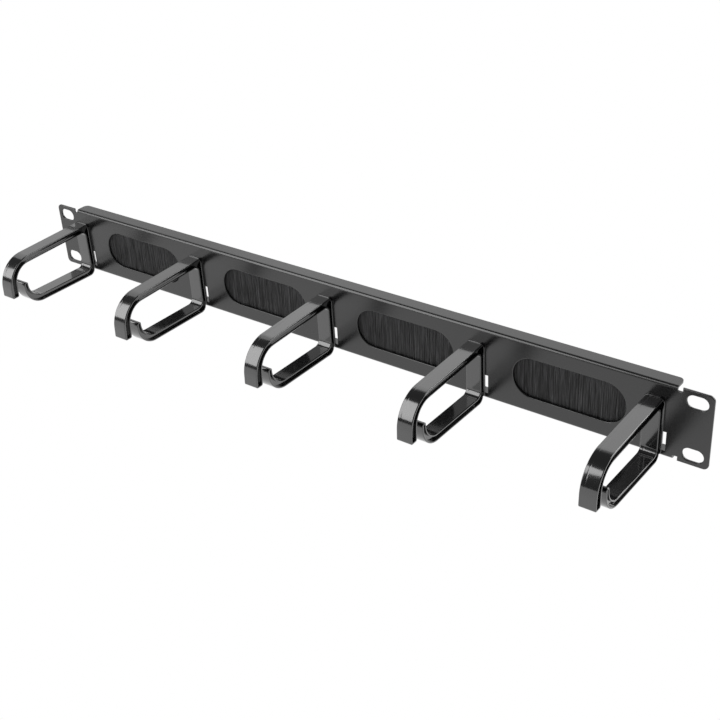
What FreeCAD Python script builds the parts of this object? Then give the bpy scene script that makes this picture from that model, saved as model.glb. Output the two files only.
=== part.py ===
import FreeCAD, Part
import math
import os

# Rack cable manager, one unit high, in millimetres
# A folded sheet panel carries cable rings on its face and strip brushes behind its openings
# +X is to the right seen from the front, the front faces -Y and +Z is up
# The origin is the centre of the plane in which the ears lie against the rack posts

# Sheet panel
panel_width = 482.6
panel_height = 44.2
sheet = 1.2
bend_inside_radius = 0.8
flange_depth = 9.3
flange_corner_radius = 3.0
ear_width = 19.8
ear_corner_radius = 3.0
relief_width = 2.7
relief_depth = 2.5

# Slots for the rack screws
rack_slot_spacing_x = 465.1
rack_slot_spacing_z = 31.75
rack_slot_length = 11.7
rack_slot_height = 7.5

# Long openings that the brushes close
opening_count = 4
opening_pitch = 107.0
opening_length = 68.0
opening_height = 24.5

# Cable ring: depths are measured forward from the panel's face, heights from its middle
ring_width = 9.6
ring_reach = 71.6
ring_top = 13.0
ring_top_fall = 1.9
ring_bottom = -24.9
ring_bottom_rise = 0.7
top_bar_height = 4.8
bottom_bar_height = 4.9
base_thickness = 3.0
leg_thickness = 5.4
leg_lean = 1.1
leg_bottom = -13.6
mouth_gap = 5.6
hook_thickness = 3.2
hook_tip = -6.3
front_radius = 19.2
front_inside_radius = 12.0
hook_radius = 13.8
hook_inside_radius = 11.0
base_outside_radius = 4.5
base_low_radius = 4.0
base_high_radius = 3.0
leg_end_bevel = 0.7
tip_bevel = 1.1
ring_rim = 1.0
ring_recess = 1.9

# Foot plate of a ring, flat on the panel's face
foot_width = 12.1
foot_thickness = 1.2
foot_top = 13.5
foot_bottom = -21.5
foot_corner_radius = 3.0

# Catch of a ring: it enters a window in the panel and slides sideways behind the sheet
ring_slide = 4.1
window_width = 6.8
window_top = -7.0
window_bottom = -18.6
catch_clearance = 0.15
catch_stem_width = 2.75
catch_overlap = 3.3
catch_thickness = 1.6

# Nib that clicks into a hole in the sheet once a ring has slid home
nib_width = 3.0
nib_height = 4.0
nib_length = 0.9
nib_middle = 6.0
nib_clearance = 0.1

# Strip brush behind each opening
brush_end_gap = 1.0
bristle_overlap = 4.25
tuft_pitch = 2.8
tuft_gap = 0.2
tuft_depth = 3.2
channel_wall = 0.8
channel_inside = 3.4
channel_bend_radius = 1.0
channel_end_gap = 8.0
channel_margin = 0.95
channel_flange_gap = 0.3
crimp_clearance = 0.05
core_wire_radius = 0.8
core_wire_clearance = 0.05

# Clips spot-welded to the back of the sheet, one round each end of a channel
clip_width = 6.5
clip_sheet = 0.8
clip_foot = 5.5
clip_grip = 5.0
clip_bevel = 0.4
clip_clearance = 0.05
clip_end_margin = 1.0

# Values worked out from the sizes above
panel_face = -sheet
hook_reach = ring_reach - leg_thickness - mouth_gap
half_width = panel_width / 2
half_height = panel_height / 2
flange_half = half_width - ear_width
flange_back = flange_depth - sheet
bend_outside_radius = bend_inside_radius + sheet
channel_bottom = opening_height / 2 + channel_margin
channel_top = half_height - sheet - bend_inside_radius - channel_flange_gap
channel_depth = channel_inside + 2 * channel_wall
bristle_middle = channel_wall + channel_inside / 2
bristle_top = channel_top - channel_wall - crimp_clearance
bristle_bottom = -opening_height / 2 - bristle_overlap
channel_length = opening_pitch - channel_end_gap
brush_length = channel_length - 2 * (clip_end_margin + clip_width + brush_end_gap)
core_wire_height = bristle_top - core_wire_radius
clip_offset = (channel_length - clip_width) / 2 - clip_end_margin

TINY = 1e-6


def vec(x, y, z):
    return FreeCAD.Vector(x, y, z)


def side_plane(depth, height):
    """A point of a ring's side view: depth in front of the panel's face, and height."""
    return vec(0, panel_face - depth, height)


def cross_plane(y, z):
    return vec(0, y, z)


def front_plane(x, z):
    return vec(x, 0, z)


def plan_plane(x, y):
    return vec(x, y, 0)


def corner_turns(points):
    """The turn at each corner of a closed outline, in radians, positive to the left."""
    turns = []
    for i, (u, v) in enumerate(points):
        before_u, before_v = points[i - 1]
        after_u, after_v = points[(i + 1) % len(points)]
        into = math.atan2(v - before_v, u - before_u)
        out_of = math.atan2(after_v - v, after_u - u)
        turns.append((out_of - into + math.pi) % (2 * math.pi) - math.pi)
    return turns


def tangent_lengths(points, radii):
    """How far each rounded corner reaches along its edges, limited by the edges' lengths."""
    count = len(points)
    reach = [abs(r * math.tan(turn / 2)) for r, turn in zip(radii, corner_turns(points))]
    for i in range(count):
        j = (i + 1) % count
        edge = math.dist(points[i], points[j])
        wanted = reach[i] + reach[j]
        if wanted > edge:
            reach[i] *= edge / wanted
            reach[j] *= edge / wanted
    return reach


def towards(start, goal, distance):
    share = distance / math.dist(start, goal)
    return (start[0] + (goal[0] - start[0]) * share, start[1] + (goal[1] - start[1]) * share)


def rounded_face(points, radii, plane):
    """A flat face inside straight edges whose corners are rounded by arcs."""
    reach = tangent_lengths(points, radii)
    turns = corner_turns(points)
    edges = []
    spans = []
    for i, corner in enumerate(points):
        start = towards(corner, points[i - 1], reach[i])
        end = towards(corner, points[(i + 1) % len(points)], reach[i])
        spans.append((start, end))
        if reach[i] > TINY:
            radius = reach[i] / abs(math.tan(turns[i] / 2))
            chord_middle = ((start[0] + end[0]) / 2, (start[1] + end[1]) / 2)
            half_chord = math.dist(start, end) / 2
            rise = radius - math.sqrt(radius ** 2 - half_chord ** 2)
            middle = towards(chord_middle, corner, rise)
            edges.append(Part.Arc(plane(*start), plane(*middle), plane(*end)).toShape())
    for i, (_, end) in enumerate(spans):
        start = spans[(i + 1) % len(spans)][0]
        if math.dist(end, start) > TINY:
            edges.append(Part.LineSegment(plane(*end), plane(*start)).toShape())
    return Part.Face(Part.Wire(Part.__sortEdges__(edges)))


def inset_outline(points, radii, inset):
    """The same closed outline moved inwards, with its corner radii to match."""
    turns = corner_turns(points)
    inwards = 1 if sum(turns) > 0 else -1
    moved = []
    for i, (u, v) in enumerate(points):
        before = points[i - 1]
        after = points[(i + 1) % len(points)]
        into = math.atan2(v - before[1], u - before[0])
        middle = into + turns[i] / 2 + inwards * math.pi / 2
        distance = inset / math.cos(turns[i] / 2)
        moved.append((u + distance * math.cos(middle), v + distance * math.sin(middle)))
    new_radii = []
    for radius, turn in zip(radii, turns):
        new_radii.append(max(0.0, radius - inset if turn * inwards > 0 else radius + inset))
    return moved, new_radii


def slot_prism(x, z, length, height, y_from, y_to):
    """A prism with half-round ends, lying along X, for cutting through the panel."""
    half = length / 2
    corners = [(x - half, z - height / 2), (x + half, z - height / 2),
               (x + half, z + height / 2), (x - half, z + height / 2)]
    face = rounded_face(corners, [height / 2] * 4, front_plane)
    face.translate(vec(0, y_from, 0))
    return face.extrude(vec(0, y_to - y_from, 0))


def block(x_from, x_to, y_from, y_to, z_from, z_to):
    corner = vec(x_from, y_from, z_from)
    return Part.makeBox(x_to - x_from, y_to - y_from, z_to - z_from, corner)


def opening_centres():
    """Middles of the brush openings, spread evenly about the panel's middle."""
    first = -(opening_count - 1) / 2 * opening_pitch
    return [first + i * opening_pitch for i in range(opening_count)]


def window_centres():
    """One ring window on each side of every opening, half a pitch away."""
    first = -opening_count / 2 * opening_pitch
    return [first + i * opening_pitch for i in range(opening_count + 1)]


def ring_centres():
    return [x - ring_slide for x in window_centres()]


# Panel

def folded_sheet():
    """The C-shaped section with its two bends, as long as the flanges."""
    front = panel_face
    top = half_height
    inner_top = half_height - sheet
    outline = [(flange_back, top), (front, top), (front, -top), (flange_back, -top),
               (flange_back, -inner_top), (0, -inner_top), (0, inner_top), (flange_back, inner_top)]
    outer = bend_outside_radius
    inner = bend_inside_radius
    face = rounded_face(outline, [0, outer, outer, 0, 0, inner, inner, 0], cross_plane)
    face.translate(vec(-flange_half, 0, 0))
    return face.extrude(vec(2 * flange_half, 0, 0))


def flange_corner_cut(side):
    """What is cut from the rear corners of both flanges at one end of the panel."""
    r = flange_corner_radius
    x_end = side * flange_half
    x_in = x_end - side * r
    corner = block(min(x_end, x_in), max(x_end, x_in), flange_back - r, flange_back,
                   -half_height, half_height)
    round_part = Part.makeCylinder(r, panel_height, vec(x_in, flange_back - r, -half_height))
    return corner.cut(round_part)


def ear(side):
    """The flat end of the panel that is screwed to the rack post."""
    inner = side * flange_half
    outer = side * half_width
    points = [(inner, -half_height), (outer, -half_height), (outer, half_height), (inner, half_height)]
    radius = ear_corner_radius
    face = rounded_face(points, [0, radius, radius, 0], front_plane)
    face.translate(vec(0, panel_face, 0))
    plate = face.extrude(vec(0, sheet, 0))
    relief_end = inner + side * relief_width
    x_from = min(inner, relief_end)
    x_to = max(inner, relief_end)
    low = block(x_from, x_to, panel_face, 0, -half_height, relief_depth - half_height)
    high = block(x_from, x_to, panel_face, 0, half_height - relief_depth, half_height)
    return plate.cut([low, high])


def panel_cuts():
    """Every hole through the sheet: rack slots, brush openings, ring windows and nib holes."""
    y_from = panel_face - sheet
    y_to = sheet
    cuts = []
    for side_x in (-1, 1):
        for side_z in (-1, 1):
            x = side_x * rack_slot_spacing_x / 2
            z = side_z * rack_slot_spacing_z / 2
            cuts.append(slot_prism(x, z, rack_slot_length, rack_slot_height, y_from, y_to))
    for x in opening_centres():
        cuts.append(slot_prism(x, 0, opening_length, opening_height, y_from, y_to))
    half = window_width / 2
    for x in window_centres():
        cuts.append(block(x - half, x + half, y_from, y_to, window_bottom, window_top))
    for x in ring_centres():
        cuts.append(nib_block(x, nib_clearance, y_from, y_to))
    return cuts


def nib_block(x, around, y_from, y_to):
    """The nib of a ring, or with a clearance around it the hole that it clicks into."""
    half = nib_width / 2 + around
    low = nib_middle - nib_height / 2 - around
    high = nib_middle + nib_height / 2 + around
    return block(x - half, x + half, y_from, y_to, low, high)


def make_panel():
    body = folded_sheet()
    body = body.cut([flange_corner_cut(-1), flange_corner_cut(1)])
    body = body.fuse([ear(-1), ear(1)])
    return body.cut(panel_cuts())


# Cable ring

def top_line(depth):
    return ring_top - ring_top_fall * depth / ring_reach


def bottom_line(depth):
    return ring_bottom + ring_bottom_rise * depth / hook_reach


def ring_outline():
    """Corners of a ring seen from its side, from the leg's end round to the leg's end."""
    leg_front = ring_reach - leg_lean
    leg_back = leg_front - leg_thickness
    hook_back = hook_reach - hook_thickness
    base = base_thickness
    leg_end = ring_reach - leg_thickness
    corners = [
        (ring_reach, leg_bottom + leg_end_bevel, 0),
        (leg_front, top_line(leg_front), front_radius),
        (0, ring_top, 0),
        (0, ring_bottom, base_outside_radius),
        (hook_reach, bottom_line(hook_reach), hook_radius),
        (hook_reach, hook_tip - tip_bevel, 0),
        (hook_reach - tip_bevel, hook_tip, 0),
        (hook_back + tip_bevel, hook_tip, 0),
        (hook_back, hook_tip - tip_bevel, 0),
        (hook_back, bottom_line(hook_back) + bottom_bar_height, hook_inside_radius),
        (base, bottom_line(base) + bottom_bar_height, base_low_radius),
        (base, top_line(base) - top_bar_height, base_high_radius),
        (leg_back, top_line(leg_back) - top_bar_height, front_inside_radius),
        (leg_end, leg_bottom + leg_end_bevel, 0),
        (leg_end + leg_end_bevel, leg_bottom, 0),
        (ring_reach - leg_end_bevel, leg_bottom, 0),
    ]
    return [(depth, height) for depth, height, _ in corners], [radius for _, _, radius in corners]


def ring_bar():
    """The bent bar of a ring, with a recess inside a narrow rim on both sides."""
    points, radii = ring_outline()
    half = ring_width / 2
    face = rounded_face(points, radii, side_plane)
    face.translate(vec(-half, 0, 0))
    bar = face.extrude(vec(ring_width, 0, 0))
    inner_points, inner_radii = inset_outline(points, radii, ring_rim)
    recess_face = rounded_face(inner_points, inner_radii, side_plane)
    recesses = []
    for side in (-1, 1):
        recess = recess_face.copy()
        recess.translate(vec(side * (half - ring_recess), 0, 0))
        recesses.append(recess.extrude(vec(side * 2 * ring_recess, 0, 0)))
    return bar.cut(recesses)


def foot_plate():
    half = foot_width / 2
    corners = [(-half, foot_bottom), (half, foot_bottom), (half, foot_top), (-half, foot_top)]
    face = rounded_face(corners, [foot_corner_radius] * 4, front_plane)
    face.translate(vec(0, panel_face - foot_thickness, 0))
    return face.extrude(vec(0, foot_thickness, 0))


def catch():
    """The stem in the panel's window and the plate behind the sheet."""
    gap = catch_clearance
    stem_from = ring_slide - window_width / 2 + gap
    stem_to = stem_from + catch_stem_width
    low = window_bottom + gap
    high = window_top - gap
    stem = block(stem_from, stem_to, panel_face, gap, low, high)
    plate = block(stem_from - catch_overlap, stem_to, gap, gap + catch_thickness, low, high)
    return stem.fuse(plate)


def make_ring():
    nib = nib_block(0, 0, panel_face, panel_face + nib_length)
    return ring_bar().fuse([foot_plate(), catch(), nib]).removeSplitter()


# Strip brush

def make_channel():
    """A folded strip, open below, that grips the bristles."""
    half = channel_length / 2
    wall = channel_wall
    top = channel_top
    bottom = channel_bottom
    depth = channel_depth
    outline = [(0, bottom), (wall, bottom), (wall, top - wall), (depth - wall, top - wall),
               (depth - wall, bottom), (depth, bottom), (depth, top), (0, top)]
    radii = [0, 0, 0, 0, 0, 0, channel_bend_radius, channel_bend_radius]
    face = rounded_face(outline, radii, cross_plane)
    face.translate(vec(-half, 0, 0))
    return face.extrude(vec(channel_length, 0, 0))


def tuft(x):
    """One bundle of bristles with a ridge at its front and back."""
    side = (tuft_pitch - tuft_gap) / 2
    ridge = tuft_depth / 2
    middle = bristle_middle
    points = [(x - side, middle), (x, middle - ridge), (x + side, middle), (x, middle + ridge)]
    face = rounded_face(points, [0] * len(points), plan_plane)
    face.translate(vec(0, 0, bristle_bottom))
    return face.extrude(vec(0, 0, channel_bottom - bristle_bottom))


def make_bristles():
    """Tufts in a row below the folded strip that the channel grips, with a groove for the wire."""
    half = brush_length / 2
    grip = channel_inside / 2 - crimp_clearance
    groove = core_wire_radius + core_wire_clearance
    groove_bottom = core_wire_height - groove
    middle = bristle_middle
    strip = block(-half, half, middle - grip, middle + grip, channel_bottom, bristle_top)
    strip = strip.cut(block(-half - 1, half + 1, middle - groove, middle + groove, groove_bottom, bristle_top + 1))
    count = round(brush_length / tuft_pitch)
    first = -(count - 1) / 2 * tuft_pitch
    return strip.fuse([tuft(first + i * tuft_pitch) for i in range(count)])


def make_core_wire():
    start = vec(-brush_length / 2, bristle_middle, core_wire_height)
    return Part.makeCylinder(core_wire_radius, brush_length, start, vec(1, 0, 0))


def make_clip():
    """A bent strip: its foot on the sheet, its shelf under the channel, its tongue behind it."""
    wall = clip_sheet
    shelf_top = channel_bottom - clip_clearance
    shelf_bottom = shelf_top - wall
    foot_end = shelf_top - clip_foot
    tongue_front = channel_depth + clip_clearance
    tongue_back = tongue_front + wall
    tongue_top = shelf_top + clip_grip
    cut = clip_bevel
    outline = [(0, foot_end), (wall, foot_end), (wall, shelf_bottom), (tongue_back - cut, shelf_bottom),
               (tongue_back, shelf_bottom + cut), (tongue_back, tongue_top), (tongue_front, tongue_top),
               (tongue_front, shelf_top), (cut, shelf_top), (0, shelf_top - cut)]
    face = rounded_face(outline, [0] * len(outline), cross_plane)
    face.translate(vec(-clip_width / 2, 0, 0))
    return face.extrude(vec(clip_width, 0, 0))


def moved_copy(shape, x):
    copy = shape.copy()
    copy.translate(vec(x, 0, 0))
    return copy


def all_nodes():
    nodes = {"panel": make_panel()}
    ring = make_ring()
    for number, x in enumerate(ring_centres(), 1):
        nodes["cable_ring_%d" % number] = moved_copy(ring, x)
    channel = make_channel()
    bristles = make_bristles()
    wire = make_core_wire()
    clip = make_clip()
    for number, x in enumerate(opening_centres(), 1):
        nodes["brush_channel_%d" % number] = moved_copy(channel, x)
        nodes["brush_bristles_%d" % number] = moved_copy(bristles, x)
        nodes["brush_core_wire_%d" % number] = moved_copy(wire, x)
        nodes["channel_clip_%d_left" % number] = moved_copy(clip, x - clip_offset)
        nodes["channel_clip_%d_right" % number] = moved_copy(clip, x + clip_offset)
    return nodes


os.makedirs("parts", exist_ok=True)
for name, shape in all_nodes().items():
    shape.exportStep("parts/%s.step" % name)
    print(name, "solids", len(shape.Solids), "valid", shape.isValid(), "volume", round(shape.Volume, 1))
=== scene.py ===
"""Looks of a one-unit rack cable manager: folded steel panel, moulded cable rings, strip brushes."""
import math
import random

import bmesh
import bpy
from bpy.props import FloatProperty, FloatVectorProperty, IntProperty, PointerProperty
from mathutils import Matrix, Vector


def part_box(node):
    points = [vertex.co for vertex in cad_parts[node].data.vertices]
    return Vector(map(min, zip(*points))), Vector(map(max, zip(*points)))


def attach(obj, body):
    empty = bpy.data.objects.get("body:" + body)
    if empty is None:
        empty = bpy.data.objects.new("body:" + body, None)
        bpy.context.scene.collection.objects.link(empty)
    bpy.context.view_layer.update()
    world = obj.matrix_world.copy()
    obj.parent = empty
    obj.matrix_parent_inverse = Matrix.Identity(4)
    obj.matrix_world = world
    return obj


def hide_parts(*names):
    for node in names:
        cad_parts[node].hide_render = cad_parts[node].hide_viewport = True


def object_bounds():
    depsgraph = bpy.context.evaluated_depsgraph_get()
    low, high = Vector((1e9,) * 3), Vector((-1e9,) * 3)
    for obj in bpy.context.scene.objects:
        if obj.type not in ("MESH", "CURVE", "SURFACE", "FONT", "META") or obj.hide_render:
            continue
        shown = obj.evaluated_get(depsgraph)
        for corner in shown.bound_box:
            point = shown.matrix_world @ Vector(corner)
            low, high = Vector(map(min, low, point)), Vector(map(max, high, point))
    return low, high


bl_info = {
    "name": "Rack Cable Manager",
    "version": (1, 0, 0),
    "blender": (4, 5, 0),
    "location": "View3D > Sidebar > Cable Manager",
    "description": "Dresses a rack cable manager: panel, cable rings, strip brushes and studio",
    "category": "Object",
}

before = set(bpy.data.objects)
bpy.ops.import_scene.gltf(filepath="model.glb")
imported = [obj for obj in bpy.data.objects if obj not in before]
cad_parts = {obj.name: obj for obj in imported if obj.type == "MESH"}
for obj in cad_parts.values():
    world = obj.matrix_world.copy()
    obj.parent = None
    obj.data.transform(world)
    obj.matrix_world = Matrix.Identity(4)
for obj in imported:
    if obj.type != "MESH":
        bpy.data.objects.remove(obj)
cad_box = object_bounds()

MM = 0.001
RING_COUNT = len([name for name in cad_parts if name.startswith("cable_ring_")])
BRUSH_COUNT = len([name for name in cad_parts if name.startswith("brush_bristles_")])
BODY = "root"

# Heights and depths of a ring's side view: depth is measured forward from the panel's face
SHEET = 1.2 * MM
RING_REACH = 71.6 * MM
RING_TOP = 13.0 * MM
RING_TOP_FALL = 1.9 * MM
RING_BOTTOM = -24.9 * MM
RING_BOTTOM_RISE = 0.7 * MM
TOP_BAR = 4.8 * MM
BOTTOM_BAR = 4.9 * MM
BASE = 3.0 * MM
LEG = 5.4 * MM
LEG_LEAN = 1.1 * MM
LEG_BOTTOM = -13.6 * MM
HOOK_REACH = 60.6 * MM
HOOK = 3.2 * MM
HOOK_TIP = -6.3 * MM
FRONT_RADIUS = 19.2 * MM
FRONT_INSIDE_RADIUS = 12.0 * MM
HOOK_RADIUS = 13.8 * MM
HOOK_INSIDE_RADIUS = 11.0 * MM
BASE_OUTSIDE_RADIUS = 4.5 * MM
BASE_LOW_RADIUS = 4.0 * MM
BASE_HIGH_RADIUS = 3.0 * MM
LEG_END_RADIUS = 1.3 * MM
TIP_RADIUS = 1.45 * MM
RIM = 1.0 * MM
RECESS = 1.9 * MM
LIP = 0.18 * MM
FLOOR_FILLET = 0.2 * MM
FOOT_THICKNESS = 1.2 * MM
FOOT_TOP = 13.5 * MM
FOOT_BOTTOM = -21.5 * MM
FOOT_CORNER = 3.0 * MM
FOOT_EDGE = 0.25 * MM

# An arc has at least this many steps, and as many more as its chords' length asks
ARC_STEPS = 8
ARC_CHORD = 0.9 * MM

# Catch and nib of a ring, behind the panel's face. Both are rooted in the foot plate
CATCH_LEFT = -2.45 * MM
CATCH_STEM_LEFT = 0.85 * MM
CATCH_RIGHT = 3.6 * MM
CATCH_BOTTOM = -18.45 * MM
CATCH_TOP = -7.15 * MM
CATCH_FRONT = 0.15 * MM
CATCH_BACK = 1.75 * MM
CATCH_EDGE = 0.15 * MM
NIB_HALF_WIDTH = 1.5 * MM
NIB_BOTTOM = 4.0 * MM
NIB_TOP = 8.0 * MM
NIB_BACK = -0.3 * MM
NIB_EDGE = 0.2 * MM
ROOT = 0.5 * MM

# The catch's plate stays this far inside its stem, so that no faces of the two coincide
PLATE_STEP = 0.2 * MM
PLATE_SIDE_STEP = 0.5 * MM

# Limits for selecting and merging
NO_LENGTH = 1e-7
MERGE_DISTANCE = 1e-6
SHEET_MERGE_DISTANCE = 1e-5
FLAT_DEGREES = 0.5
SHARP_DEGREES = 40
FACING = 0.99
FACE_PLAY = 0.01 * MM

# A side of the ring's bar is a face with more corners than this
SIDE_CORNERS = 8

# Bristles: the front rows lean to the sheet. Angles are in radians
BRISTLE_LEAN = 0.018
BRISTLE_SPREAD = 0.005
BRISTLE_SWAY = 0.002
BRISTLE_TRIM = 0.006
BRISTLE_BOW_X = 0.12 * MM
BRISTLE_BOW_Y = 0.06 * MM
BRISTLE_PATTERNS = 6
BRISTLE_SIDES = 5

# Play of a bristle's place in shares of the pitch and the radius, and steps in radii
PITCH_PLAY = 0.4
ROW_PLAY = 0.3
ROW_STEP = 1.6
HEART_STEP = 3

# Groove of the mould's parting line on a ring
PARTING_PLACE = -2.5 * MM
PARTING_WIDTH = 1.1 * MM
PARTING_DEPTH = 0.03 * MM

# Finishes: share of the fine grain in roughness, its part of the plastic's bump, least tone
FINE_SHARE = 0.6
PLASTIC_GRAIN = 0.02
LEAST_TONE = 0.1

# Studio
FLOOR_SIZE = 8.0
FLOOR_TONE = 0.85
FLOOR_ROUGHNESS = 0.6
WORLD_LIGHT = 0.12

# The camera of the photograph
CAMERA_PLACE = (0.422577, -0.507145, 0.356182)
CAMERA_AZIMUTH = 38.511
CAMERA_ELEVATION = 30.479
CAMERA_ROLL = -3.668
CAMERA_LENS = 61.862
CAMERA_SENSOR = 36.0


class CableManagerSettings(bpy.types.PropertyGroup):
    """Sizes and colours that a user would change."""

    ring_width: FloatProperty(
        name="Ring Width", description="Width of a ring's bar", default=9.6 * MM, unit="LENGTH")
    foot_width: FloatProperty(
        name="Foot Width", description="Width of a ring's foot plate", default=12.1 * MM, unit="LENGTH")
    ring_edge: FloatProperty(
        name="Ring Edge", description="Radius of a ring's outer edges", default=0.5 * MM, unit="LENGTH")
    panel_edge: FloatProperty(
        name="Panel Edge", description="Radius of the coating on the sheet's cut edges",
        default=0.5 * MM, unit="LENGTH")
    bristle_radius: FloatProperty(
        name="Bristle Radius", description="Radius of one bristle", default=0.16 * MM, unit="LENGTH")
    bristle_pitch: FloatProperty(
        name="Bristle Pitch", description="Distance between bristles of a row", default=0.3 * MM,
        unit="LENGTH")
    bristle_rows: IntProperty(
        name="Bristle Rows", description="Rows of bristles on each side of a brush", default=2, min=1)
    plastic_color: FloatVectorProperty(
        name="Plastic", description="Colour of the moulded rings", subtype="COLOR", size=3,
        default=(0.004, 0.004, 0.0044))
    coat_color: FloatVectorProperty(
        name="Powder Coat", description="Colour of the coated panel", subtype="COLOR", size=3,
        default=(0.006, 0.006, 0.0063))
    bristle_color: FloatVectorProperty(
        name="Bristles", description="Colour of the bristles", subtype="COLOR", size=3,
        default=(0.026, 0.026, 0.027))
    zinc_color: FloatVectorProperty(
        name="Zinc", description="Colour of the zinc-coated channels, wires and clips", subtype="COLOR",
        size=3, default=(0.55, 0.56, 0.57))
    floor_drop: FloatProperty(
        name="Floor Drop", description="Distance from the part down to the floor", default=0.12,
        unit="LENGTH")


def settings():
    return bpy.context.scene.cable_manager


# Mesh helpers

def select_only(piece):
    bpy.ops.object.select_all(action="DESELECT")
    piece.select_set(True)
    bpy.context.view_layer.objects.active = piece


def start_point(name, place):
    """A new object with a single vertex at a place, left in edit mode."""
    bpy.ops.object.select_all(action="DESELECT")
    bpy.ops.mesh.primitive_plane_add(size=MM, location=(0, 0, 0))
    piece = bpy.context.object
    piece.name = name
    bpy.ops.object.mode_set(mode="EDIT")
    bpy.ops.mesh.select_mode(type="VERT")
    bpy.ops.mesh.select_all(action="SELECT")
    bpy.ops.mesh.merge(type="CENTER")
    bpy.ops.transform.translate(value=place)
    return piece


def extrude_by(step):
    bpy.ops.mesh.extrude_region_move(TRANSFORM_OT_translate={"value": step})


def select_where(piece, kind, test):
    """Selects the faces or edges of the piece in edit mode that pass a test."""
    bpy.ops.mesh.select_all(action="DESELECT")
    bpy.ops.mesh.select_mode(type="EDGE" if kind == "edges" else "FACE")
    mesh = bmesh.from_edit_mesh(piece.data)
    for element in getattr(mesh, kind):
        if test(element):
            element.select_set(True)
    mesh.select_flush_mode()
    bmesh.update_edit_mesh(piece.data)


def object_mode():
    bpy.ops.object.mode_set(mode="OBJECT")


def edit_mode(piece):
    select_only(piece)
    bpy.ops.object.mode_set(mode="EDIT")


def apply_modifier(piece, kind, **values):
    select_only(piece)
    modifier = piece.modifiers.new(kind.title(), kind)
    for key, value in values.items():
        setattr(modifier, key, value)
    bpy.ops.object.modifier_apply(modifier=modifier.name)


def join_solid(piece, other):
    """Adds another closed solid to the piece and removes it."""
    apply_modifier(piece, "BOOLEAN", operation="UNION", solver="EXACT", object=other)
    bpy.data.objects.remove(other)


def smooth(piece, degrees):
    select_only(piece)
    bpy.ops.object.shade_smooth_by_angle(angle=math.radians(degrees))


def even_normals(piece):
    apply_modifier(piece, "WEIGHTED_NORMAL", keep_sharp=True, weight=100)


def turn_at(before, corner, after):
    """Signed turn of an outline at a corner, about +X of its (Y, Z) plane."""
    into = (corner - before).normalized()
    out_of = (after - corner).normalized()
    return math.atan2(into.cross(out_of).x, into.dot(out_of))


def draw_outline(name, corners):
    """Draws a closed outline in the plane of its corners: straight runs extruded, arcs spun."""
    count = len(corners)
    axis = (1, 0, 0)
    arcs = []
    for i, (corner, radius) in enumerate(corners):
        before = corners[i - 1][0]
        after = corners[(i + 1) % count][0]
        turn = turn_at(before, corner, after)
        reach = radius * math.tan(abs(turn) / 2)
        into = (corner - before).normalized()
        out_of = (after - corner).normalized()
        start = corner - into * reach
        end = corner + out_of * reach
        side = Vector(axis).cross(into) * (1 if turn > 0 else -1)
        arcs.append((start, end, start + side * radius, turn, radius))
    first = arcs[0][0]
    piece = start_point(name, first)
    here = first
    for start, end, centre, turn, radius in arcs:
        if (start - here).length > NO_LENGTH:
            extrude_by(start - here)
        if radius > 0:
            steps = max(ARC_STEPS, math.ceil(abs(turn) * radius / ARC_CHORD))
            bpy.ops.mesh.spin(steps=steps, angle=-turn, center=tuple(centre), axis=axis)
        here = end
    extrude_by(first - here)
    bpy.ops.mesh.select_all(action="SELECT")
    bpy.ops.mesh.remove_doubles(threshold=MERGE_DISTANCE)
    bpy.ops.mesh.edge_face_add()
    return piece


# Cable rings

def ring_corners(x):
    """Corners of a ring's outline in the plane at x, with their radii."""
    def top_line(depth):
        return RING_TOP - RING_TOP_FALL * depth / RING_REACH

    def bottom_line(depth):
        return RING_BOTTOM + RING_BOTTOM_RISE * depth / HOOK_REACH

    leg_front = RING_REACH - LEG_LEAN
    leg_back = leg_front - LEG
    hook_back = HOOK_REACH - HOOK
    places = [
        (RING_REACH, LEG_BOTTOM, LEG_END_RADIUS),
        (leg_front, top_line(leg_front), FRONT_RADIUS),
        (0, RING_TOP, 0),
        (0, RING_BOTTOM, BASE_OUTSIDE_RADIUS),
        (HOOK_REACH, bottom_line(HOOK_REACH), HOOK_RADIUS),
        (HOOK_REACH, HOOK_TIP, TIP_RADIUS),
        (hook_back, HOOK_TIP, TIP_RADIUS),
        (hook_back, bottom_line(hook_back) + BOTTOM_BAR, HOOK_INSIDE_RADIUS),
        (BASE, bottom_line(BASE) + BOTTOM_BAR, BASE_LOW_RADIUS),
        (BASE, top_line(BASE) - TOP_BAR, BASE_HIGH_RADIUS),
        (leg_back, top_line(leg_back) - TOP_BAR, FRONT_INSIDE_RADIUS),
        (RING_REACH - LEG, LEG_BOTTOM, LEG_END_RADIUS),
    ]
    return [(Vector((x, -SHEET - depth, height)), radius) for depth, height, radius in places]


def round_out(radius, steps):
    """Steps of a side that rounds over its edge: pairs of inset and rise."""
    angles = [math.radians(90 * i / steps) for i in range(steps + 1)]
    places = [(radius * (1 - math.cos(a)), radius * math.sin(a)) for a in angles]
    return [(b[0] - a[0], b[1] - a[1]) for a, b in zip(places, places[1:])]


def round_in(radius, steps):
    """Steps of a side that rolls over a lip into a recess."""
    return [(rise, -inset) for inset, rise in round_out(radius, steps)]


def round_down(radius, steps):
    """Steps of a recess wall that runs out into its floor."""
    return [(inset, -rise) for inset, rise in round_out(radius, steps)]


def raise_side(steps):
    """Insets the selected flat side step by step, each step a pair of inset and rise."""
    for inset, rise in steps:
        if inset > 0:
            bpy.ops.mesh.inset(thickness=inset, depth=rise, use_even_offset=True)


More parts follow.
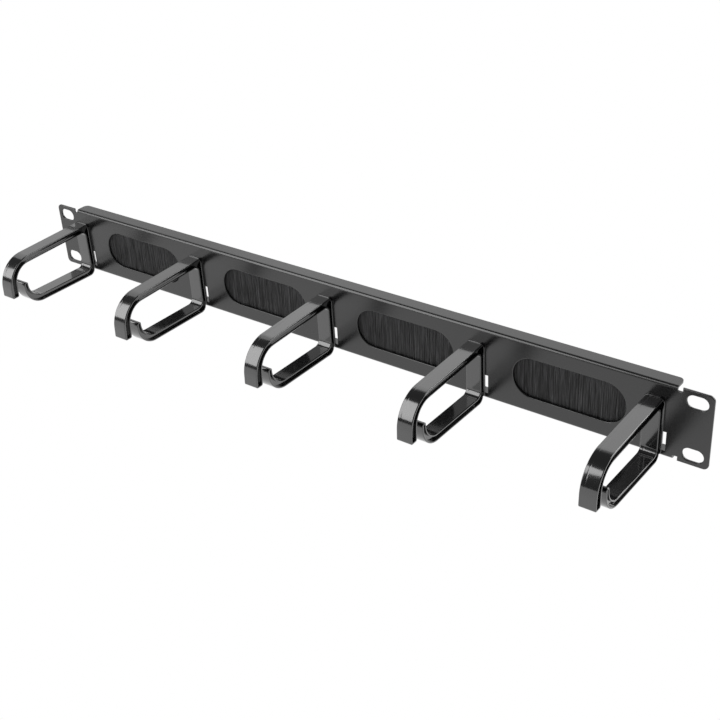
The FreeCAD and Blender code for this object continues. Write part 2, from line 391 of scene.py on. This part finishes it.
def model_ring_bar(width, edge):
    """The bent bar: outline, width, rounded edges, and a recess inside a rim on both sides."""
    half = width / 2
    bar = draw_outline("ring_bar", ring_corners(edge - half))
    extrude_by((width - 2 * edge, 0, 0))
    bpy.ops.mesh.select_all(action="SELECT")
    bpy.ops.mesh.normals_make_consistent(inside=False)
    rim = (RIM - edge - LIP, 0)
    wall = (MERGE_DISTANCE, FLOOR_FILLET + LIP - RECESS)
    profile = [*round_out(edge, 4), rim, *round_in(LIP, 2), wall, *round_down(FLOOR_FILLET, 2)]
    for side in (-1, 1):
        select_where(bar, "faces", lambda f: f.normal.x * side > FACING and len(f.verts) > SIDE_CORNERS)
        raise_side(profile)
    object_mode()
    return bar


def plain_block(name, low, high):
    """A block between two corners, left in edit mode."""
    bpy.ops.object.select_all(action="DESELECT")
    bpy.ops.mesh.primitive_cube_add(size=MM, location=(0, 0, 0))
    piece = bpy.context.object
    piece.name = name
    bpy.ops.object.mode_set(mode="EDIT")
    bpy.ops.transform.resize(value=(Vector(high) - Vector(low)) / MM)
    bpy.ops.transform.translate(value=(Vector(high) + Vector(low)) / 2)
    return piece


def box_piece(name, low, high, edge):
    """A block between two corners with its edges rounded."""
    piece = plain_block(name, low, high)
    bpy.ops.mesh.select_mode(type="EDGE")
    bpy.ops.mesh.select_all(action="SELECT")
    bpy.ops.mesh.bevel(offset=edge, offset_type="OFFSET", segments=2, affect="EDGES")
    object_mode()
    return piece


def model_foot(width):
    """The foot plate on the panel's face, with rounded corners and a softened front edge."""
    half = width / 2
    front = FOOT_EDGE - SHEET - FOOT_THICKNESS
    foot = plain_block("ring_foot", (-half, front, FOOT_BOTTOM), (half, -SHEET, FOOT_TOP))

    def along_y(e):
        a, b = (v.co for v in e.verts)
        return abs(a.y - b.y) > FOOT_THICKNESS / 2

    select_where(foot, "edges", along_y)
    bpy.ops.mesh.bevel(offset=FOOT_CORNER, offset_type="OFFSET", segments=6, affect="EDGES")
    select_where(foot, "faces", lambda f: f.normal.y < -FACING)
    raise_side(round_out(FOOT_EDGE, 3))
    object_mode()
    return foot


def model_ring(width, foot_width, edge):
    """One moulding: bar, foot plate, catch and nib as a single closed solid."""
    ring = model_ring_bar(width, edge)
    join_solid(ring, model_foot(foot_width))
    stem = box_piece("stem", (CATCH_STEM_LEFT, -SHEET - ROOT, CATCH_BOTTOM),
                     (CATCH_RIGHT, CATCH_BACK, CATCH_TOP), CATCH_EDGE)
    plate_low = (CATCH_LEFT, CATCH_FRONT, CATCH_BOTTOM + PLATE_STEP)
    plate_high = (CATCH_RIGHT - PLATE_SIDE_STEP, CATCH_BACK - PLATE_STEP, CATCH_TOP - PLATE_STEP)
    plate = box_piece("plate", plate_low, plate_high, CATCH_EDGE)
    nib = box_piece("nib", (-NIB_HALF_WIDTH, -SHEET - ROOT, NIB_BOTTOM),
                    (NIB_HALF_WIDTH, NIB_BACK, NIB_TOP), NIB_EDGE)
    for addition in (stem, plate, nib):
        join_solid(ring, addition)
    smooth(ring, 32)
    even_normals(ring)
    return ring


# Panel

def model_panel(edge):
    """The folded sheet from its solid, with a small radius on the cut edges of its front face."""
    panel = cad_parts["panel"].copy()
    panel.data = panel.data.copy()
    panel.parent = None
    for key in list(panel.keys()):
        if key.startswith("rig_"):
            del panel[key]
    panel.name = "coated_panel"
    bpy.context.collection.objects.link(panel)
    edit_mode(panel)
    bpy.ops.mesh.select_all(action="SELECT")
    bpy.ops.mesh.remove_doubles(threshold=SHEET_MERGE_DISTANCE)
    bpy.ops.mesh.dissolve_limited(angle_limit=math.radians(FLAT_DEGREES))

    def cut_edge(e):
        in_face = all(v.co.y < FACE_PLAY - SHEET for v in e.verts)
        return in_face and e.is_manifold and e.calc_face_angle(0) > math.radians(SHARP_DEGREES)

    select_where(panel, "edges", cut_edge)
    bpy.ops.mesh.bevel(offset=edge, offset_type="OFFSET", segments=4, affect="EDGES")
    object_mode()
    smooth(panel, 30)
    even_normals(panel)
    return panel


# Bristles

def model_bristle(radius, length, bow):
    """One bristle standing down from the origin, bowed along its length."""
    bpy.ops.object.select_all(action="DESELECT")
    bpy.ops.mesh.primitive_cylinder_add(
        vertices=BRISTLE_SIDES, radius=radius, depth=length, end_fill_type="TRIFAN")
    bristle = bpy.context.object
    bpy.ops.object.mode_set(mode="EDIT")
    bpy.ops.transform.translate(value=(0, 0, -length / 2))
    for share in (1 / 3, 2 / 3):
        bpy.ops.mesh.select_all(action="SELECT")
        bpy.ops.mesh.bisect(plane_co=(0, 0, -length * share), plane_no=(0, 0, 1))
        bpy.ops.transform.translate(value=(bow[0], bow[1], 0))
    object_mode()
    return bristle


def bristle_heart(low, high, inset):
    """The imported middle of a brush, which lets no light through."""
    front_low = (low.x, low.y + inset, low.z + inset)
    back_high = (high.x, high.y - inset, high.z)
    heart = plain_block("bristle_heart", front_low, back_high)
    object_mode()
    return heart


def model_brush(number, rng):
    """All bristles of one strip brush in one piece, each a copy with its own lean and length."""
    low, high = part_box("brush_bristles_%d" % number)
    values = settings()
    radius = values.bristle_radius
    length = high.z - low.z
    patterns = []
    for _ in range(BRISTLE_PATTERNS):
        bow = (rng.uniform(-1, 1) * BRISTLE_BOW_X, rng.uniform(-1, 1) * BRISTLE_BOW_Y)
        patterns.append(model_bristle(radius, length, bow))
    heart = bristle_heart(low, high, HEART_STEP * radius * values.bristle_rows)
    brush = bmesh.new()
    brush.from_mesh(heart.data)
    count = int((high.x - low.x) / values.bristle_pitch)
    rows = []
    for row in range(values.bristle_rows):
        step = radius * (1 + ROW_STEP * row)
        rows += [(low.y + step, -BRISTLE_LEAN), (high.y - step, 0)]
    for y, row_lean in rows:
        for i in range(count):
            x = low.x + values.bristle_pitch * (i + 0.5 + rng.uniform(-PITCH_PLAY, PITCH_PLAY))
            sideways = Matrix.Rotation(rng.gauss(0, BRISTLE_SPREAD), 4, "Y")
            sway = rng.uniform(-BRISTLE_SWAY, BRISTLE_SWAY)
            lean = sideways @ Matrix.Rotation(row_lean + sway, 4, "X")
            trim = 1 - abs(rng.gauss(0, BRISTLE_TRIM))
            place = Matrix.Translation((x, y + rng.uniform(-ROW_PLAY, ROW_PLAY) * radius, high.z))
            copy = rng.choice(patterns).data.copy()
            copy.transform(place @ lean @ Matrix.Diagonal((1, 1, trim, 1)))
            brush.from_mesh(copy)
            bpy.data.meshes.remove(copy)
    mesh = bpy.data.meshes.new("bristles_%d" % number)
    brush.to_mesh(mesh)
    brush.free()
    piece = bpy.data.objects.new("bristles_%d" % number, mesh)
    bpy.context.collection.objects.link(piece)
    for pattern in [heart, *patterns]:
        bpy.data.objects.remove(pattern)
    smooth(piece, 80)
    return piece


# Materials

def new_group(name, inputs, outputs):
    group = bpy.data.node_groups.new(name, "ShaderNodeTree")
    for label, kind, value in inputs:
        socket = group.interface.new_socket(name=label, in_out="INPUT", socket_type=kind)
        if value is not None:
            socket.default_value = value
    for label, kind in outputs:
        group.interface.new_socket(name=label, in_out="OUTPUT", socket_type=kind)
    return group, group.nodes.new("NodeGroupInput"), group.nodes.new("NodeGroupOutput")


def noise(tree, vector, scale, detail):
    """A noise texture whose place and scale come from other nodes."""
    node = tree.nodes.new("ShaderNodeTexNoise")
    node.inputs["Detail"].default_value = detail
    tree.links.new(vector, node.inputs["Vector"])
    tree.links.new(scale, node.inputs["Scale"])
    return node.outputs["Fac"]


def math_node(tree, operation, *values):
    node = tree.nodes.new("ShaderNodeMath")
    node.operation = operation
    for i, value in enumerate(values):
        if isinstance(value, (int, float)):
            node.inputs[i].default_value = value
        else:
            tree.links.new(value, node.inputs[i])
    return node.outputs[0]


def spread(tree, value, low, high):
    """Maps a 0 to 1 value to a range."""
    node = tree.nodes.new("ShaderNodeMapRange")
    tree.links.new(value, node.inputs["Value"])
    for socket, limit in (("To Min", low), ("To Max", high)):
        if isinstance(limit, (int, float)):
            node.inputs[socket].default_value = limit
        else:
            tree.links.new(limit, node.inputs[socket])
    return node.outputs["Result"]


def surface_grain_group():
    """Fine grain and broad unevenness of a finish, shared by every material."""
    group, start, end = new_group(
        "surface_grain",
        [("Vector", "NodeSocketVector", None), ("Grain Scale", "NodeSocketFloat", 2500.0),
         ("Broad Scale", "NodeSocketFloat", 60.0), ("Roughness Low", "NodeSocketFloat", 0.3),
         ("Roughness High", "NodeSocketFloat", 0.4), ("Tone Spread", "NodeSocketFloat", 0.1)],
        [("Roughness", "NodeSocketFloat"), ("Height", "NodeSocketFloat"), ("Tone", "NodeSocketFloat")])
    fine = noise(group, start.outputs["Vector"], start.outputs["Grain Scale"], 2.0)
    broad = noise(group, start.outputs["Vector"], start.outputs["Broad Scale"], 3.0)
    fine_share = math_node(group, "MULTIPLY", fine, FINE_SHARE)
    broad_share = math_node(group, "MULTIPLY", broad, 1 - FINE_SHARE)
    mixed = math_node(group, "ADD", fine_share, broad_share)
    rough = spread(group, mixed, start.outputs["Roughness Low"], start.outputs["Roughness High"])
    centred = math_node(group, "SUBTRACT", broad, 0.5)
    swing = math_node(group, "MULTIPLY", centred, start.outputs["Tone Spread"])
    tone = math_node(group, "MAXIMUM", math_node(group, "ADD", swing, 1.0), LEAST_TONE)
    group.links.new(rough, end.inputs["Roughness"])
    group.links.new(fine, end.inputs["Height"])
    group.links.new(tone, end.inputs["Tone"])
    return group


def new_material(name):
    material = bpy.data.materials.new(name)
    material.use_nodes = True
    tree = material.node_tree
    return material, tree, tree.nodes["Principled BSDF"]


def add_grain(tree, shader, color, grain, bump_distance, stretch=(1, 1, 1), **values):
    """Puts the shared grain into a material and feeds colour, roughness and bump from it.

    Other values are the group's inputs, by their labels in lower case with underscores.
    """
    mapping = tree.nodes.new("ShaderNodeMapping")
    mapping.inputs["Scale"].default_value = stretch
    tree.links.new(tree.nodes.new("ShaderNodeTexCoord").outputs["Object"], mapping.inputs["Vector"])
    place = mapping.outputs["Vector"]
    group = tree.nodes.new("ShaderNodeGroup")
    group.node_tree = grain
    tree.links.new(place, group.inputs["Vector"])
    for label, value in values.items():
        group.inputs[label.replace("_", " ").title()].default_value = value
    tint = tree.nodes.new("ShaderNodeMix")
    tint.data_type = "RGBA"
    tint.blend_type = "MULTIPLY"
    tint.inputs["Factor"].default_value = 1
    tint.inputs["A"].default_value = (*color, 1)
    tree.links.new(group.outputs["Tone"], tint.inputs["B"])
    tree.links.new(tint.outputs["Result"], shader.inputs["Base Color"])
    tree.links.new(group.outputs["Roughness"], shader.inputs["Roughness"])
    bump = tree.nodes.new("ShaderNodeBump")
    bump.inputs["Distance"].default_value = bump_distance
    bump.inputs["Strength"].default_value = 1
    tree.links.new(group.outputs["Height"], bump.inputs["Height"])
    tree.links.new(bump.outputs["Normal"], shader.inputs["Normal"])
    return place, group, bump


def powder_coat(grain):
    material, tree, shader = new_material("black_powder_coat_finish")
    add_grain(tree, shader, settings().coat_color, grain, 0.006 * MM, grain_scale=1800.0,
              broad_scale=25.0, roughness_low=0.2, roughness_high=0.27, tone_spread=0.25)
    shader.inputs["Specular IOR Level"].default_value = 0.8
    return material


def parting_line(tree, place):
    """Height of the fine groove that the mould's halves leave round each ring, 1 outside it."""
    first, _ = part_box("cable_ring_1")
    width = settings().foot_width
    split = tree.nodes.new("ShaderNodeSeparateXYZ")
    tree.links.new(place, split.inputs[0])
    along = math_node(tree, "SUBTRACT", split.outputs["X"], first.x + width / 2 + PARTING_PLACE)
    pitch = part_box("cable_ring_2")[0].x - first.x
    folded = math_node(tree, "PINGPONG", along, pitch / 2)
    return math_node(tree, "MINIMUM", math_node(tree, "DIVIDE", folded, PARTING_WIDTH / 2), 1.0)


def gloss_plastic(grain):
    material, tree, shader = new_material("black_gloss_plastic_finish")
    place, group, bump = add_grain(
        tree, shader, settings().plastic_color, grain, PARTING_DEPTH, grain_scale=500.0,
        broad_scale=40.0, roughness_low=0.11, roughness_high=0.17, tone_spread=0.2)
    line = parting_line(tree, place)
    fine = math_node(tree, "MULTIPLY", group.outputs["Height"], PLASTIC_GRAIN)
    tree.links.new(math_node(tree, "ADD", fine, line), bump.inputs["Height"])
    shader.inputs["IOR"].default_value = 1.6
    shader.inputs["Specular IOR Level"].default_value = 0.8
    shader.inputs["Coat Weight"].default_value = 0.6
    shader.inputs["Coat Roughness"].default_value = 0.06
    return material


def bristle_material(grain):
    material, tree, shader = new_material("black_bristle_finish")
    add_grain(tree, shader, settings().bristle_color, grain, 0.002 * MM, stretch=(1, 1, 0.05),
              grain_scale=1500.0, broad_scale=1400.0, roughness_low=0.28, roughness_high=0.45,
              tone_spread=9.0)
    return material


def zinc_material(grain):
    material, tree, shader = new_material("zinc_coat_finish")
    add_grain(tree, shader, settings().zinc_color, grain, 0.002 * MM, grain_scale=900.0,
              broad_scale=150.0, roughness_low=0.28, roughness_high=0.45, tone_spread=0.5)
    shader.inputs["Metallic"].default_value = 1
    return material


def shared_material(name):
    """A material made once and then used by every piece of its finish."""
    found = bpy.data.materials.get(name + "_finish")
    if found:
        return found
    grain = bpy.data.node_groups.get("surface_grain") or surface_grain_group()
    makers = {"black_powder_coat": powder_coat, "black_gloss_plastic": gloss_plastic,
              "black_bristle": bristle_material, "zinc_coat": zinc_material}
    return makers[name](grain)


def dress(piece, material_name):
    piece.data.materials.clear()
    piece.data.materials.append(shared_material(material_name))


# Operators

class CABLEMANAGER_OT_panel(bpy.types.Operator):
    """Builds the powder-coated sheet panel"""

    bl_idname = "cable_manager.panel"
    bl_label = "Panel"

    def execute(self, context):
        panel = model_panel(settings().panel_edge)
        dress(panel, "black_powder_coat")
        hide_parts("panel")
        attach(panel, BODY)
        return {"FINISHED"}


class CABLEMANAGER_OT_rings(bpy.types.Operator):
    """Builds the moulded cable rings and places one at each foot"""

    bl_idname = "cable_manager.rings"
    bl_label = "Cable Rings"

    def execute(self, context):
        values = settings()
        model = model_ring(values.ring_width, values.foot_width, values.ring_edge)
        for number in range(1, RING_COUNT + 1):
            node = "cable_ring_%d" % number
            low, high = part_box(node)
            ring = model.copy()
            ring.data = model.data.copy()
            ring.name = "moulded_ring_%d" % number
            context.collection.objects.link(ring)
            ring.data.transform(Matrix.Translation(((low.x + high.x) / 2, 0, 0)))
            dress(ring, "black_gloss_plastic")
            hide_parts(node)
            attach(ring, BODY)
        bpy.data.objects.remove(model)
        return {"FINISHED"}


class CABLEMANAGER_OT_brushes(bpy.types.Operator):
    """Builds the bristles of the strip brushes, bristle by bristle"""

    bl_idname = "cable_manager.brushes"
    bl_label = "Bristles"

    def execute(self, context):
        for number in range(1, BRUSH_COUNT + 1):
            brush = model_brush(number, random.Random(number))
            dress(brush, "black_bristle")
            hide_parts("brush_bristles_%d" % number)
            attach(brush, BODY)
        return {"FINISHED"}


class CABLEMANAGER_OT_hardware(bpy.types.Operator):
    """Gives the channels, core wires and clips behind the panel their zinc coat"""

    bl_idname = "cable_manager.hardware"
    bl_label = "Brush Hardware"

    def execute(self, context):
        for name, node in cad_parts.items():
            if name.startswith(("brush_channel_", "brush_core_wire_", "channel_clip_")):
                dress(node, "zinc_coat")
        return {"FINISHED"}


class CABLEMANAGER_OT_studio(bpy.types.Operator):
    """Builds the floor, the lights and the camera"""

    bl_idname = "cable_manager.studio"
    bl_label = "Studio"

    def execute(self, context):
        make_floor()
        make_lights()
        make_world()
        make_camera()
        context.scene.view_settings.view_transform = "Standard"
        return {"FINISHED"}


# Studio

def white_to_the_eye(tree, shader_output, rays):
    """Mixes a plain white emission of strength 1 over a shader for the named kinds of ray."""
    path = tree.nodes.new("ShaderNodeLightPath")
    factor = path.outputs[rays[0]]
    for ray in rays[1:]:
        factor = math_node(tree, "MAXIMUM", factor, path.outputs[ray])
    glow = tree.nodes.new("ShaderNodeEmission")
    glow.inputs["Strength"].default_value = 1
    mix = tree.nodes.new("ShaderNodeMixShader")
    tree.links.new(factor, mix.inputs["Fac"])
    tree.links.new(shader_output, mix.inputs[1])
    tree.links.new(glow.outputs[0], mix.inputs[2])
    return mix.outputs[0]


def make_floor():
    low, _ = cad_box
    bpy.ops.object.select_all(action="DESELECT")
    bpy.ops.mesh.primitive_plane_add(
        size=FLOOR_SIZE, location=(0, 0, low.z - settings().floor_drop))
    floor = bpy.context.object
    floor.name = "pale_floor"
    material, tree, shader = new_material("pale_floor")
    shader.inputs["Base Color"].default_value = (FLOOR_TONE, FLOOR_TONE, FLOOR_TONE, 1)
    shader.inputs["Roughness"].default_value = FLOOR_ROUGHNESS
    surface = white_to_the_eye(tree, shader.outputs[0], ["Is Camera Ray", "Is Glossy Ray"])
    tree.links.new(surface, tree.nodes["Material Output"].inputs["Surface"])
    floor.data.materials.append(material)


def make_world():
    """A white world that lights the part only a little."""
    world = bpy.data.worlds.new("studio")
    bpy.context.scene.world = world
    world.use_nodes = True
    tree = world.node_tree
    background = tree.nodes["Background"]
    path = tree.nodes.new("ShaderNodeLightPath")
    strength = spread(tree, path.outputs["Is Camera Ray"], WORLD_LIGHT, 1.0)
    background.inputs["Color"].default_value = (1, 1, 1, 1)
    tree.links.new(strength, background.inputs["Strength"])


def area_light(name, direction, distance, size, radiance):
    """An area light in a direction from the part, turned to face it."""
    low, high = cad_box
    middle = (low + high) / 2
    towards = Vector(direction).normalized()
    bpy.ops.object.select_all(action="DESELECT")
    bpy.ops.object.light_add(type="AREA", location=middle + towards * distance)
    lamp = bpy.context.object
    lamp.name = name
    lamp.rotation_euler = towards.to_track_quat("Z", "Y").to_euler()
    lamp.data.shape = "RECTANGLE"
    lamp.data.size, lamp.data.size_y = size
    lamp.data.energy = radiance * math.pi * size[0] * size[1]
    lamp.visible_camera = False
    return lamp


def make_lights():
    """Each lamp by its direction from the part, distance, width and height, and radiance."""
    area_light("back_card", (-0.50, 0.72, 0.48), 2.2, (3.2, 1.8), 0.8)
    area_light("back_card_right", (-0.27, 0.74, 0.62), 2.0, (1.7, 1.4), 0.35)
    area_light("edge_card", (0.58, 0.73, 0.36), 2.0, (1.7, 1.4), 4.0)
    area_light("softbox", (-0.567, -0.618, 0.545), 1.6, (1.12, 1.49), 3.4)


def make_camera():
    """The photograph's camera, from its place, heading, elevation and roll."""
    azimuth = math.radians(CAMERA_AZIMUTH)
    elevation = math.radians(CAMERA_ELEVATION)
    back = Vector((math.sin(azimuth) * math.cos(elevation),
                   -math.cos(azimuth) * math.cos(elevation), math.sin(elevation)))
    level_right = Vector((0, 0, 1)).cross(back).normalized()
    level_up = back.cross(level_right)
    roll = math.radians(CAMERA_ROLL)
    right = level_right * math.cos(roll) + level_up * math.sin(roll)
    up = back.cross(right)
    bpy.ops.object.select_all(action="DESELECT")
    bpy.ops.object.camera_add()
    camera = bpy.context.object
    camera.name = "photo_camera"
    turned = Matrix((right, up, back)).transposed().to_4x4()
    camera.matrix_world = Matrix.Translation(CAMERA_PLACE) @ turned
    camera.data.sensor_width = CAMERA_SENSOR
    camera.data.lens = CAMERA_LENS
    camera.data.clip_start = 0.01
    bpy.context.scene.camera = camera


class CABLEMANAGER_PT_sidebar(bpy.types.Panel):
    """Lists the steps that dress the cable manager"""

    bl_label = "Cable Manager"
    bl_space_type = "VIEW_3D"
    bl_region_type = "UI"
    bl_category = "Cable Manager"

    def draw(self, context):
        column = self.layout.column(align=True)
        for operator in OPERATORS:
            column.operator(operator.bl_idname)
        values = context.scene.cable_manager
        for name in CableManagerSettings.__annotations__:
            column.prop(values, name)


OPERATORS = (CABLEMANAGER_OT_panel, CABLEMANAGER_OT_rings, CABLEMANAGER_OT_brushes,
             CABLEMANAGER_OT_hardware, CABLEMANAGER_OT_studio)
CLASSES = (CableManagerSettings, *OPERATORS, CABLEMANAGER_PT_sidebar)


def register():
    for cls in CLASSES:
        bpy.utils.register_class(cls)
    bpy.types.Scene.cable_manager = PointerProperty(type=CableManagerSettings)


def unregister():
    del bpy.types.Scene.cable_manager
    for cls in reversed(CLASSES):
        bpy.utils.unregister_class(cls)


def main():
    register()
    bpy.ops.cable_manager.panel()
    bpy.ops.cable_manager.rings()
    bpy.ops.cable_manager.brushes()
    bpy.ops.cable_manager.hardware()
    bpy.ops.cable_manager.studio()


if __name__ == "__main__":
    main()
